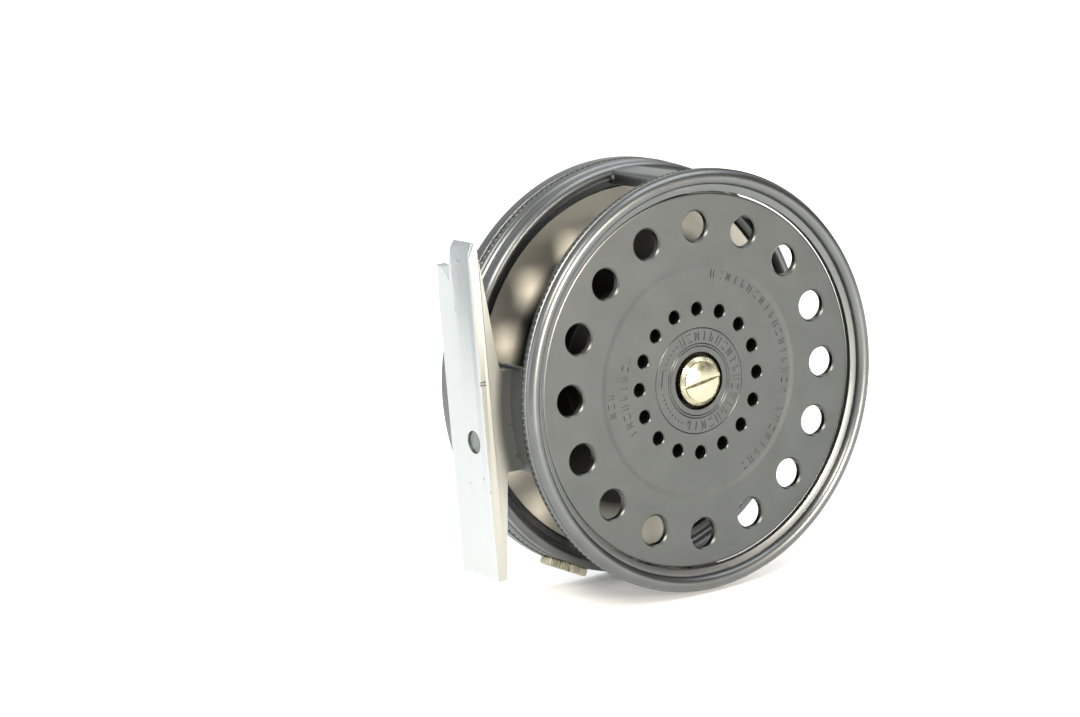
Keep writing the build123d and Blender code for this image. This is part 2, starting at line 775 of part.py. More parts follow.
pawl_eye_radius = pawl_post_radius + running_clearance + pawl_eye_wall
with BuildPart() as check_pawl:
    with BuildSketch(check_plane(check_front + pawl_thickness)):
        with BuildLine():
            Polyline(
                (0, nose_out),
                (pawl_nose_half, nose_out + pawl_nose_depth),
                (pawl_arm, pivot_out - pawl_eye_radius),
                (pawl_arm, pivot_out + pawl_eye_radius),
                (2 * pawl_nose_depth, nose_out + pawl_back),
                (-pawl_nose_depth, nose_out + pawl_back),
                (-pawl_nose_depth, nose_out + 1.5 * pawl_nose_depth),
                (-pawl_nose_half, nose_out + pawl_nose_depth),
                close=True,
            )
        make_face()
        with Locations((pawl_arm, pivot_out)):
            Circle(pawl_eye_radius)
            Circle(pawl_post_radius + running_clearance, mode=Mode.SUBTRACT)
    extrude(amount=pawl_thickness)
save(check_pawl, "check_pawl")

with BuildPart() as pawl_post:
    with BuildSketch(check_plane(race_back)):
        with Locations((pawl_arm, pivot_out)):
            Circle(pawl_post_radius)
    extrude(amount=race_back - check_plate_back)
save(pawl_post, "pawl_post")

spring_middle = (spring_inner + spring_outer) / 2
with BuildPart() as check_spring:
    with BuildSketch(check_plane(check_front + spring_height)):
        with BuildLine():
            Line((spring_tip, spring_inner), (-spring_arm, spring_inner))
            ThreePointArc(
                (-spring_arm, spring_inner),
                (-spring_arm - spring_gap / 2, spring_middle),
                (-spring_arm, spring_outer),
            )
            Line((-spring_arm, spring_outer), (shoe_width / 2, spring_outer))
        trace(line_width=spring_thickness)
    extrude(amount=spring_height)
save(check_spring, "check_spring")

post_along = (-spring_arm - spring_gap / 2 + spring_thickness / 2 + spring_clearance
              + spring_post_radius)
with BuildPart() as spring_post:
    with BuildSketch(check_plane(race_back)):
        with Locations((post_along, spring_middle)):
            Circle(spring_post_radius)
    extrude(amount=race_back - check_plate_back)
save(spring_post, "spring_post")

# ---------------------------------------------------------------- check regulator
with BuildPart() as regulator_shoe:
    with BuildSketch(check_plane(check_front + spring_height)):
        with Locations((0, (shoe_in + shoe_out) / 2)):
            Rectangle(shoe_width, shoe_depth)
    extrude(amount=spring_height)
save(regulator_shoe, "regulator_shoe")

with BuildPart() as regulator_screw:
    with BuildSketch(regulator_plane(regulator_in)):
        Circle(regulator_radius)
        with PolarLocations(regulator_radius, regulator_teeth):
            Rectangle(2 * regulator_tooth_depth, regulator_tooth_depth, mode=Mode.SUBTRACT)
    extrude(amount=regulator_thickness)
    with BuildSketch(regulator_plane(shoe_out + side_gap)):
        Circle(regulator_stem_radius)
    extrude(amount=regulator_in - shoe_out - side_gap)
    with BuildSketch(regulator_plane(regulator_out - regulator_slot_depth)):
        Rectangle(3 * regulator_radius, regulator_slot_width)
    extrude(amount=regulator_thickness, mode=Mode.SUBTRACT)
save(regulator_screw, "regulator_screw")
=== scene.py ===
import bmesh
import bpy
import json
from math import asin, atan2, cos, degrees, hypot, pi, radians, sin, sqrt
from mathutils import Matrix, Vector


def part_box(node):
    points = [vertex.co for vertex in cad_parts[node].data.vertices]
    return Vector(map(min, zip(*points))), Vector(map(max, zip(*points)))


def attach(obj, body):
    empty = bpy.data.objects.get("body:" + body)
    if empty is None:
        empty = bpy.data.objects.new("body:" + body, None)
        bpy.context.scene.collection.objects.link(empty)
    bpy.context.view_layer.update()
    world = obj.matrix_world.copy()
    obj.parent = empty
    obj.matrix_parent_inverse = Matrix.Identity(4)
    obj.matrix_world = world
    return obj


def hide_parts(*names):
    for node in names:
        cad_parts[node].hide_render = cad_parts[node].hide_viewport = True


# A narrow caged fly reel. The spindle lies along Y, the drum's face looks to -Y, the winding
# plate is at +Y and the foot at -X. Sizes below are in millimetres; MM makes them metres.

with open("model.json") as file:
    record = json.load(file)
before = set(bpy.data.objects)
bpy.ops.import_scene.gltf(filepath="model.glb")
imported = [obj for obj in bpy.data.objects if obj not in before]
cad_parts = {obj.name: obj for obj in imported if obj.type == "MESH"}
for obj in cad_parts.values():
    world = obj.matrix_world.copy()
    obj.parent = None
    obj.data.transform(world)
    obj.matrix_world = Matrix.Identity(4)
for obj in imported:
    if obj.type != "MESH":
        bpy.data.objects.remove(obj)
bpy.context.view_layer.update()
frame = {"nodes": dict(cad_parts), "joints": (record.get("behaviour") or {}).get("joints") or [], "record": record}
MM = 0.001


def in_mm(node):
    """Lowest and highest corner of a node, in millimetres."""
    low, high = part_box(node)
    return low / MM, high / MM


# ---------------------------------------------------------------- sizes, from the frame
frame_low, frame_high = in_mm("frame")
drum_low, drum_high = in_mm("drum")
screw_low, screw_high = in_mm("drum_screw")
foot_low, foot_high = in_mm("reel_foot")
plate_low = in_mm("winding_plate")[0]

frame_front = frame_low.y
frame_back = frame_high.y
rim_radius = frame_high.x
drum_front = drum_low.y
drum_radius = drum_high.x
flange_back = drum_high.y
flange_front = flange_back - 1.2
face_back = drum_front + 1.3
frame_bore = drum_radius + 0.35

bead_radius = 1.35
bead_circle = rim_radius - 0.39 - bead_radius
bead_outer = bead_circle + bead_radius
bead_inner = bead_circle - bead_radius
rim_front = flange_front - 2.4
ring_bead = frame_front + bead_radius
rim_bead = rim_front + bead_radius
ring_milled = ring_bead + 0.2
milled_width = 1.1
milled_depth = 0.36
seat_radius = rim_radius - milled_depth
rim_milled = frame_back - 2.7 - milled_width
ring_back = ring_milled + milled_width + 0.25
rim_bore = rim_radius - 2.9
check_plate_back = flange_back + 1.7
check_plate_front = flange_back + 0.5

milled_teeth = 196
hole_count = 16
first_hole_angle = -3.5
hole_circle, hole_radius = 28.9, 2.8
small_hole_circle, small_hole_radius = 13.5, 1.22
recess_radius = 5.35
arbor_radius = 15.8
# Radii where the painted highlight band on the flange's inside begins and where it is whole.
painted_light_from, painted_light_whole = 26.0, 28.6
ring_steps = 4 * milled_teeth
tooth_radius = seat_radius + 0.2


# ---------------------------------------------------------------- shaping helpers
def take_up(piece):
    """Makes this piece the only selected one."""
    bpy.ops.object.select_all(action="DESELECT")
    bpy.context.view_layer.objects.active = piece
    piece.select_set(True)
    return piece


def named(name):
    """The piece just made, with its name."""
    piece = bpy.context.active_object
    piece.name = name
    piece.data.name = name
    return piece


def start(name, primitive, **sizes):
    """Adds a primitive at the origin and opens it for shaping."""
    bpy.ops.object.select_all(action="DESELECT")
    primitive(**sizes)
    piece = named(name)
    bpy.ops.object.mode_set(mode="EDIT")
    return piece


def pick(piece, wanted, kind="FACE"):
    """Selects, in an open piece, the faces, edges or vertices that are wanted."""
    bpy.ops.mesh.select_mode(type=kind)
    bpy.ops.mesh.select_all(action="DESELECT")
    mesh = bmesh.from_edit_mesh(piece.data)
    for element in {"VERT": mesh.verts, "EDGE": mesh.edges, "FACE": mesh.faces}[kind]:
        if wanted(element):
            element.select_set(True)
    mesh.select_flush_mode()
    bmesh.update_edit_mesh(piece.data)


def merge_all():
    """Merges every double vertex of the open piece, and leaves all selected."""
    bpy.ops.mesh.select_all(action="SELECT")
    bpy.ops.mesh.remove_doubles(threshold=0.002 * MM)
    bpy.ops.mesh.select_all(action="SELECT")


def close_up(piece, smooth=30.0):
    """Merges doubles, turns the faces outwards, and ends the shaping."""
    merge_all()
    bpy.ops.mesh.normals_make_consistent(inside=False)
    bpy.ops.object.mode_set(mode="OBJECT")
    take_up(piece)
    bpy.ops.object.shade_smooth_by_angle(angle=radians(smooth))
    return piece


def apply_all(piece):
    """Applies every modifier on a piece."""
    take_up(piece)
    for modifier in list(piece.modifiers):
        bpy.ops.object.modifier_apply(modifier=modifier.name)
    return piece


def round_edges(piece, width, segments=3, angle=30.0, smooth=30.0):
    """Rounds a piece's sharp edges."""
    rounding = piece.modifiers.new("edges", "BEVEL")
    rounding.width = width * MM
    rounding.segments = segments
    rounding.limit_method = "ANGLE"
    rounding.angle_limit = radians(angle)
    apply_all(piece)
    bpy.ops.object.shade_smooth_by_angle(angle=radians(smooth))
    return piece


def cut(piece, cutter, smooth=30.0):
    """Cuts the cutter's shape out of a piece, and throws the cutter away."""
    cutting = piece.modifiers.new("cut", "BOOLEAN")
    cutting.operation = "DIFFERENCE"
    cutting.solver = "EXACT"
    cutting.object = cutter
    apply_all(piece)
    bpy.data.objects.remove(cutter)
    take_up(piece)
    bpy.ops.object.shade_smooth_by_angle(angle=radians(smooth))
    return piece


def join(pieces, name):
    """Joins pieces into one."""
    take_up(pieces[0])
    for piece in pieces[1:]:
        piece.select_set(True)
    bpy.ops.object.join()
    return named(name)


def placed(piece, place=(0, 0, 0), turn=(0, 0, 0)):
    """Moves and turns a finished piece, in millimetres and degrees, and applies that to its mesh."""
    take_up(piece)
    piece.location = [part * MM for part in place]
    piece.rotation_euler = [radians(part) for part in turn]
    bpy.ops.object.transform_apply(location=True, rotation=True, scale=True)
    return piece


def swung(piece, angle):
    """Turns a piece about the spindle, from +X towards +Z, by this many degrees."""
    return placed(piece, turn=(0, -angle, 0))


def arc(centre_radius, centre_y, size, begin, end, count=8):
    """Points of an arc in an outline; 0 degrees points outwards and 90 degrees to +Y."""
    points = []
    for number in range(count + 1):
        turn = radians(begin + (end - begin) * number / count)
        points.append((centre_radius + size * cos(turn), centre_y + size * sin(turn)))
    return points


def softened(outline, size=0.06):
    """An outline with each sharp corner broken by a small round."""
    points = []
    for before, corner, after in zip(outline[-1:] + outline[:-1], outline, outline[1:] + outline[:1]):
        back = Vector(before) - Vector(corner)
        ahead = Vector(after) - Vector(corner)
        if corner[0] < size or back.angle(ahead) > radians(150):
            points.append(corner)
            continue
        reach_back = min(size, back.length / 3)
        reach_ahead = min(size, ahead.length / 3)
        first = Vector(corner) + back.normalized() * reach_back
        last = Vector(corner) + ahead.normalized() * reach_ahead
        middle = Vector(corner) * 0.5 + (first + last) * 0.25
        points += [tuple(first), tuple(middle), tuple(last)]
    return points


def turned(name, outline, steps=256, sectors=16, smooth=30.0, shape=None):
    """Turns a closed outline of (radius, y) points about the spindle.

    One sector is spun and given its shape, and is then repeated round the spindle."""
    piece = start(name, bpy.ops.mesh.primitive_plane_add, size=MM)
    bpy.ops.mesh.merge(type="CENTER")
    bpy.ops.mesh.select_mode(type="VERT")
    bpy.ops.mesh.select_all(action="SELECT")
    bpy.ops.transform.translate(value=(outline[0][0] * MM, outline[0][1] * MM, 0))
    for here, there in zip(outline, outline[1:] + outline[:1]):
        step = ((there[0] - here[0]) * MM, (there[1] - here[1]) * MM, 0)
        bpy.ops.mesh.extrude_vertices_move(TRANSFORM_OT_translate={"value": step})
    merge_all()
    bpy.ops.mesh.spin(steps=steps // sectors, angle=2 * pi / sectors, center=(0, 0, 0), axis=(0, 1, 0))
    merge_all()
    if shape:
        shape(piece)
    bpy.ops.mesh.select_all(action="SELECT")
    bpy.ops.mesh.spin(steps=sectors - 1, dupli=True, angle=2 * pi * (sectors - 1) / sectors,
                      center=(0, 0, 0), axis=(0, 1, 0))
    return close_up(piece, smooth)


def milling(steps, front, back, low, high):
    """A shape that raises the teeth of a milled band, two steps in every four."""
    def on_a_tooth(vertex):
        place = vertex.co / MM
        step = round(atan2(place.z, place.x) / (2 * pi / steps))
        across = abs(hypot(place.x, place.z) - low) < 0.03
        return across and front < place.y < back and step % 4 in (1, 2)

    def shape(piece):
        pick(piece, on_a_tooth, "VERT")
        bpy.ops.transform.resize(value=(high / low, 1, high / low), center_override=(0, 0, 0))

    return shape


# ---------------------------------------------------------------- finishes
def new_finish(name, colour, metallic, roughness):
    """A finish with its colour, metal and roughness set on the shader."""
    finish = bpy.data.materials.new(name)
    finish.use_nodes = True
    shader = finish.node_tree.nodes["Principled BSDF"]
    shader.inputs["Base Color"].default_value = (*colour, 1)
    shader.inputs["Metallic"].default_value = metallic
    shader.inputs["Roughness"].default_value = roughness
    return finish, shader


def add_node(finish, kind, **settings):
    """Adds a node and sets its settings or its inputs by name."""
    node = finish.node_tree.nodes.new(kind)
    for key, value in settings.items():
        if hasattr(node, key):
            setattr(node, key, value)
        else:
            node.inputs[key.replace("_", " ").title()].default_value = value
    return node


def wire(finish, source, target):
    finish.node_tree.links.new(source, target)


def turning_place(finish, across=1.0, around=0.0):
    """Coordinates that run out from the spindle, along it, and a little way round it."""
    place = add_node(finish, "ShaderNodeTexCoord")
    apart = add_node(finish, "ShaderNodeSeparateXYZ")
    wire(finish, place.outputs["Object"], apart.inputs[0])
    flat = add_node(finish, "ShaderNodeCombineXYZ")
    wire(finish, apart.outputs["X"], flat.inputs["X"])
    wire(finish, apart.outputs["Z"], flat.inputs["Z"])
    length = add_node(finish, "ShaderNodeVectorMath", operation="LENGTH")
    wire(finish, flat.outputs[0], length.inputs[0])
    turn = add_node(finish, "ShaderNodeMath", operation="ARCTAN2")
    wire(finish, apart.outputs["Z"], turn.inputs[0])
    wire(finish, apart.outputs["X"], turn.inputs[1])
    out = add_node(finish, "ShaderNodeCombineXYZ")
    wire(finish, length.outputs["Value"], out.inputs["X"])
    wire(finish, apart.outputs["Y"], out.inputs["Y"])
    slow = add_node(finish, "ShaderNodeMath", operation="MULTIPLY")
    slow.inputs[1].default_value = around
    wire(finish, turn.outputs[0], slow.inputs[0])
    wire(finish, slow.outputs[0], out.inputs["Z"])
    return out.outputs[0]


def marks(finish, place, scale, detail=2.0, roughness=0.5):
    """A noise texture read at a place."""
    texture = add_node(finish, "ShaderNodeTexNoise", noise_dimensions="3D")
    texture.inputs["Scale"].default_value = scale
    texture.inputs["Detail"].default_value = detail
    texture.inputs["Roughness"].default_value = roughness
    wire(finish, place, texture.inputs["Vector"])
    return texture.outputs["Fac"]


def spread(finish, value, low, high, from_low=0.3, from_high=0.7):
    """Spreads a texture's value between two numbers."""
    ranged = add_node(finish, "ShaderNodeMapRange")
    ranged.inputs["From Min"].default_value = from_low
    ranged.inputs["From Max"].default_value = from_high
    ranged.inputs["To Min"].default_value = low
    ranged.inputs["To Max"].default_value = high
    wire(finish, value, ranged.inputs["Value"])
    return ranged.outputs["Result"]


def bumped(finish, shader, value, depth, strength=1.0):
    """Puts a texture's value on the surface as relief."""
    relief = add_node(finish, "ShaderNodeBump")
    relief.inputs["Strength"].default_value = strength
    relief.inputs["Distance"].default_value = depth * MM
    wire(finish, value, relief.inputs["Height"])
    wire(finish, relief.outputs["Normal"], shader.inputs["Normal"])


def shaded(finish, shader, value, dark, light):
    """Varies the colour between two shades."""
    mix = add_node(finish, "ShaderNodeMix", data_type="RGBA")
    mix.inputs[6].default_value = (*dark, 1)
    mix.inputs[7].default_value = (*light, 1)
    wire(finish, value, mix.inputs[0])
    wire(finish, mix.outputs[2], shader.inputs["Base Color"])
    return mix.outputs[2]


def painted_shade_and_light(finish, shader, skin, inside):
    """Paints shade and light on the drum: the hollows behind the face and the flange are painted dark as shade,
    and the flange's outer part is painted brighter as a painted highlight band, with a rougher skin.
    """
    out = add_node(finish, "ShaderNodeSeparateXYZ")
    wire(finish, turning_place(finish), out.inputs[0])
    # Mask of the flange's outer band, which is painted pale as a painted highlight.
    painted_light_band = spread(finish, out.outputs["X"], 0.0, 1.0, painted_light_from * MM, painted_light_whole * MM)
    # Behind the face the drum is painted near black as shade, the flange a little less dark, and the flange's
    # outer band takes the painted highlight colour.
    steps = ((face_back - 0.05, (0.035, 0.035, 0.033), None),
             (flange_front - 0.3, (0.045, 0.045, 0.042), None),
             (flange_front - 0.3, inside, painted_light_band))
    for edge, colour, share in steps:
        part = add_node(finish, "ShaderNodeMath", operation="GREATER_THAN")
        part.inputs[1].default_value = edge * MM
        wire(finish, out.outputs["Y"], part.inputs[0])
        if share:
            behind, part = part, add_node(finish, "ShaderNodeMath", operation="MULTIPLY")
            wire(finish, behind.outputs[0], part.inputs[0])
            wire(finish, share, part.inputs[1])
        mix = add_node(finish, "ShaderNodeMix", data_type="RGBA")
        mix.inputs[7].default_value = (*colour, 1)
        wire(finish, part.outputs[0], mix.inputs[0])
        wire(finish, skin, mix.inputs[6])
        skin = mix.outputs[2]
    rougher = add_node(finish, "ShaderNodeMix", data_type="FLOAT")
    rougher.inputs[3].default_value = 0.46
    wire(finish, part.outputs[0], rougher.inputs[0])
    wire(finish, shader.inputs["Roughness"].links[0].from_socket, rougher.inputs[2])
    wire(finish, rougher.outputs[0], shader.inputs["Roughness"])
    # The screw's recess is painted nearly black as shade.
    painted_recess_shade = add_node(finish, "ShaderNodeMath", operation="LESS_THAN")
    painted_recess_shade.inputs[1].default_value = (recess_radius + 0.05) * MM
    wire(finish, out.outputs["X"], painted_recess_shade.inputs[0])
    mix = add_node(finish, "ShaderNodeMix", data_type="RGBA")
    mix.inputs[7].default_value = (0.015, 0.014, 0.012, 1)
    wire(finish, painted_recess_shade.outputs[0], mix.inputs[0])
    wire(finish, skin, mix.inputs[6])
    wire(finish, mix.outputs[2], shader.inputs["Base Color"])


def anodised(name, colour, roughness, lines=0.00002, grain=0.00002, inside=None):
    """Turned and anodised aluminium: fine rings of turning marks under an even satin skin."""
    finish, shader = new_finish(name, colour, 1.0, roughness)
    place = turning_place(finish, around=0.0006)
    rings = marks(finish, place, 9000.0, 1.0)
    wire(finish, spread(finish, rings, roughness - 0.01, roughness + 0.01), shader.inputs["Roughness"])
    body = add_node(finish, "ShaderNodeTexCoord").outputs["Object"]
    cloud = marks(finish, body, 160.0, 3.0)
    light = tuple(min(1.0, 1.06 * part) for part in colour)
    dark = tuple(0.94 * part for part in colour)
    skin = shaded(finish, shader, spread(finish, cloud, 0.0, 1.0), dark, light)
    if inside:
        painted_shade_and_light(finish, shader, skin, inside)
    fine = marks(finish, body, 7000.0, 1.0)
    both = add_node(finish, "ShaderNodeMath", operation="ADD")
    wire(finish, spread(finish, rings, 0.0, lines / 0.002), both.inputs[0])
    wire(finish, spread(finish, fine, 0.0, grain / 0.002), both.inputs[1])
    bumped(finish, shader, both.outputs[0], 0.002)
    return finish


def brushed(name, colour, roughness, depth=0.0005, scratch=0.06):
    """Metal brushed lengthwise on its broad faces and crosswise on its sides, with stray dents; the sides are
    painted darker as shade.
    """
    finish, shader = new_finish(name, colour, 1.0, roughness)
    place = add_node(finish, "ShaderNodeTexCoord").outputs["Object"]
    both = []
    for along in ((9000, 9000, 240), (2500, 2500, 9000)):
        stretch = add_node(finish, "ShaderNodeMapping")
        stretch.inputs["Scale"].default_value = along
        wire(finish, place, stretch.inputs["Vector"])
        both.append(marks(finish, stretch.outputs[0], 1.0, 4.0, 0.6))
    apart = add_node(finish, "ShaderNodeSeparateXYZ")
    wire(finish, add_node(finish, "ShaderNodeNewGeometry").outputs["Normal"], apart.inputs[0])
    side = add_node(finish, "ShaderNodeMath", operation="ABSOLUTE")
    wire(finish, apart.outputs["Y"], side.inputs[0])
    lines = add_node(finish, "ShaderNodeMix", data_type="FLOAT")
    wire(finish, spread(finish, side.outputs[0], 0.0, 1.0, 0.6, 0.8), lines.inputs[0])
    wire(finish, both[0], lines.inputs[2])
    wire(finish, both[1], lines.inputs[3])
    line = lines.outputs[0]
    satin = add_node(finish, "ShaderNodeMath", operation="MULTIPLY_ADD")
    satin.inputs[1].default_value = 0.17
    wire(finish, lines.inputs[0].links[0].from_socket, satin.inputs[0])
    wire(finish, spread(finish, line, roughness - 0.03, roughness + 0.05), satin.inputs[2])
    wire(finish, satin.outputs[0], shader.inputs["Roughness"])
    dents = spread(finish, marks(finish, place, 420.0, 2.0), 0.0, 1.0, 0.72, 0.77)
    dark = tuple(0.55 * part for part in colour)
    skin = shaded(finish, shader, dents, colour, dark)
    # Faces that look along Y, the sides, are painted darker as painted shade.
    mix = add_node(finish, "ShaderNodeMix", data_type="RGBA", blend_type="MULTIPLY")
    mix.inputs[7].default_value = (0.72, 0.69, 0.63, 1)
    wire(finish, lines.inputs[0].links[0].from_socket, mix.inputs[0])
    wire(finish, skin, mix.inputs[6])
    wire(finish, mix.outputs[2], shader.inputs["Base Color"])
    bumped(finish, shader, both[0], depth, scratch)
    return finish


def polished(name, colour, roughness, grain=0.001):
    """Polished metal with faint wear."""
    finish, shader = new_finish(name, colour, 1.0, roughness)
    place = add_node(finish, "ShaderNodeTexCoord").outputs["Object"]
    wear = marks(finish, place, 900.0, 4.0, 0.6)
    wire(finish, spread(finish, wear, roughness, roughness + 0.12), shader.inputs["Roughness"])
    dark = tuple(0.85 * part for part in colour)
    shaded(finish, shader, spread(finish, wear, 0.0, 1.0), dark, colour)
    bumped(finish, shader, wear, grain)
    return finish


def resin(name, colour):
    """Turned and polished black resin."""
    finish, shader = new_finish(name, colour, 0.0, 0.18)
    place = add_node(finish, "ShaderNodeTexCoord").outputs["Object"]
    haze = marks(finish, place, 500.0, 3.0)
    wire(finish, spread(finish, haze, 0.14, 0.28), shader.inputs["Roughness"])
    shader.inputs["Coat Weight"].default_value = 0.3
    shader.inputs["Coat Roughness"].default_value = 0.08
    bumped(finish, shader, haze, 0.002)
    return finish


grey_anodised = anodised("grey anodised frame", (0.132, 0.138, 0.138), 0.34)
# The drum's inside is painted dark as shade, with a painted highlight band of this pale colour on the flange's
# outer part.
grey_anodised_drum = anodised("grey anodised drum", (0.092, 0.097, 0.094), 0.36,
                              inside=(0.50, 0.48, 0.42))
grey_anodised_plate = anodised("grey anodised winding plate", (0.19, 0.195, 0.19), 0.32)
bare_aluminium = brushed("bare brushed aluminium", (0.43, 0.455, 0.462), 0.24)
rivet_alloy = polished("rivet alloy", (0.20, 0.22, 0.21), 0.34, 0.2)
bearing_steel = polished("bearing steel", (0.62, 0.62, 0.60), 0.16)
bright_steel = polished("bright steel", (0.62, 0.62, 0.61), 0.22)
spring_steel = polished("blued spring steel", (0.16, 0.18, 0.24), 0.30)
bronze = polished("bronze", (0.55, 0.36, 0.17), 0.30)
nickel_silver = polished("nickel silver", (0.50, 0.475, 0.345), 0.2)
nickel_silver_milled = polished("milled nickel silver", (0.46, 0.435, 0.34), 0.3)
handle_resin = resin("black resin", (0.012, 0.011, 0.010))

finish_by_slot = {
    "grey_anodised": grey_anodised,
    "grey_anodised_plate": grey_anodised_plate,
    "grey_anodised_drum": grey_anodised_drum,
    "bare_aluminium": bare_aluminium,
    "rivet_alloy": rivet_alloy,
    "bearing_steel": bearing_steel,
    "bright_steel": bright_steel,
    "spring_steel": spring_steel,
    "bronze": bronze,
    "nickel_silver": nickel_silver,
    "nickel_silver_milled": nickel_silver_milled,
    "handle_resin": handle_resin,
}


def fit(piece, body, slot, *nodes):
    """Gives a piece its finish, and sets it in place of CAD nodes on its body."""
    piece.data.materials.clear()
    piece.data.materials.append(finish_by_slot[slot])
    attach(piece, body)
    if nodes:
        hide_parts(*nodes)
    return piece


for part in frame["record"]["subparts"]:
    mesh = frame["nodes"][part["node"]].data
    mesh.materials.clear()
    mesh.materials.append(finish_by_slot[part["material_slot"]])


# ---------------------------------------------------------------- frame
def drum_side_ring():
    """The ring round the drum's face: a bead in front and a milled band behind it."""
    outline = arc(bead_circle, ring_bead, bead_radius, 180, 360, 24)
    outline += softened([
        (rim_radius - 0.2, ring_milled - 0.12),
        (rim_radius - 0.12, ring_milled),
        (seat_radius, ring_milled),
        (seat_radius, ring_milled + milled_width),
        (rim_radius - 0.12, ring_milled + milled_width),
        (rim_radius - 0.4, ring_back),
        (frame_bore, ring_back),
        (frame_bore, ring_bead + 0.4),
        (bead_inner, ring_bead + 0.2),
    ], 0.04)
    seat = (ring_milled, ring_milled + milled_width)
    outline = banded(outline, seat)
    teeth = milling(ring_steps, seat[0] + 0.05, seat[1] - 0.05, seat_radius, tooth_radius)
    return turned("drum_side_ring", outline, ring_steps, 28, shape=teeth)


def banded(outline, seat):
    """Puts the two loops that the milled teeth are raised from into the seat of an outline."""
    place = max(number for number, point in enumerate(outline)
                if abs(point[0] - seat_radius) < 0.01 and point[1] < sum(seat) / 2)
    inner = [(seat_radius, seat[0] + 0.20), (seat_radius, seat[1] - 0.20)]
    return outline[:place + 1] + inner + outline[place + 1:]


def handle_side_rim():
    """The rim round the winding plate, with its bead, turned lines and milled band."""
    low = seat_radius - 0.2
    line = rim_radius - 0.2
    outline = arc(bead_circle, rim_bead, bead_radius, 180, 360, 24)
    outline += softened([
        (bead_outer, rim_bead + 0.95),
        (low, rim_bead + 1.25),
        (low, rim_bead + 1.45),
        (line, rim_bead + 1.75),
        (line, rim_bead + 2.25),
        (low, rim_bead + 2.45),
        (low, rim_bead + 2.65),
        (line, rim_bead + 2.85),
        (line, rim_milled),
        (seat_radius, rim_milled),
        (seat_radius, rim_milled + milled_width),
        (rim_radius, rim_milled + milled_width),
        (rim_radius, frame_back - 0.3),
        (rim_radius - 0.3, frame_back),
        (rim_bore + 0.3, frame_back),
        (rim_bore, frame_back - 0.3),
        (rim_bore, check_plate_back),
        (13.0, check_plate_back),
        (13.0, plate_low.y - 0.3),
        (12.0, plate_low.y - 0.3),
        (12.0, check_plate_front),
        (frame_bore, check_plate_front),
        (frame_bore, rim_bead + 0.4),
        (bead_inner, rim_bead + 0.2),
    ], 0.05)
    seat = (rim_milled, rim_milled + milled_width)
    outline = banded(outline, seat)
    teeth = milling(ring_steps, seat[0] + 0.05, seat[1] - 0.05, seat_radius, tooth_radius)
    return turned("handle_side_rim", outline, ring_steps, 28, shape=teeth)


pillar_width = 6.4
pillar_thickness = 2.7
pillar_circle = rim_radius - 1.1 - pillar_thickness / 2


def pillar(name, angle):
    """A flat bar between the rings, with a rounded boss at its far end."""
    piece = start(name, bpy.ops.mesh.primitive_cube_add, size=2 * MM)
    half_length = (rim_bead - ring_milled) / 2
    bpy.ops.transform.resize(value=(pillar_thickness / 2, half_length, pillar_width / 2))
    pick(piece, lambda edge: abs((edge.verts[0].co - edge.verts[1].co).y) > MM, "EDGE")
    bpy.ops.mesh.bevel(offset=0.7 * MM, segments=5)
    bpy.ops.mesh.primitive_uv_sphere_add(segments=48, ring_count=24, radius=MM,
                                         location=(0, (half_length - 0.9) * MM, 0))
    bpy.ops.transform.resize(value=(1.62, 2.1, 3.7))
    bpy.ops.mesh.select_all(action="SELECT")
    bpy.ops.transform.translate(value=(pillar_circle * MM, (rim_bead + ring_milled) / 2 * MM, 0))
    close_up(piece, 45)
    return swung(piece, angle)


def bridge():
    """The curved plate under the foot, from ring to rim."""
    outer = rim_radius - 1.89
    inner = outer - 2.1
    top = asin(9.1 / outer)
    bottom = asin(10.9 / outer)
    piece = start("foot_bridge", bpy.ops.mesh.primitive_plane_add, size=2 * MM)
    half = (rim_bead - ring_milled) / 2
    bpy.ops.transform.resize(value=(1.05, half, 1))
    bpy.ops.transform.translate(value=((inner + outer) / 2 * MM, (rim_bead + ring_milled) / 2 * MM, 0))
    bpy.ops.mesh.select_all(action="SELECT")
    bpy.ops.mesh.spin(steps=32, angle=top + bottom, center=(0, 0, 0), axis=(0, 1, 0))
    close_up(piece)
    swung(piece, 180 - degrees(top))
    return round_edges(piece, 0.35)


for maker in (drum_side_ring, handle_side_rim):
    fit(maker(), "frame", "grey_anodised", "frame")
fit(pillar("top_pillar", 90), "frame", "grey_anodised", "frame")
fit(pillar("bottom_pillar", 270), "frame", "grey_anodised", "frame")
fit(bridge(), "frame", "grey_anodised", "frame")


# ---------------------------------------------------------------- foot
foot_width = foot_high.y - foot_low.y
foot_rod_side = foot_low.x


def round_cutter(name, radius, depth, place, turn, vertices=64):
    """A round cutter with its axis along Z before it is turned."""
    piece = start(name, bpy.ops.mesh.primitive_cylinder_add, vertices=vertices,
                  radius=radius * MM, depth=depth * MM)
    bpy.ops.object.mode_set(mode="OBJECT")
    return placed(piece, place, turn)


def block(name, size, place, turn=(0, 0, 0)):
    """A plain block that is shaped or used as a cutter."""
    piece = start(name, bpy.ops.mesh.primitive_cube_add, size=MM)
    bpy.ops.transform.resize(value=size)
    bpy.ops.object.mode_set(mode="OBJECT")
    return placed(piece, place, turn)


def planed(piece, point, normal):
    """Cuts away, in an open piece, what lies beyond a plane."""
    bpy.ops.mesh.select_all(action="SELECT")
    bpy.ops.mesh.bisect(plane_co=[part * MM for part in point], plane_no=Vector(normal).normalized(),
                        use_fill=True, clear_outer=True)


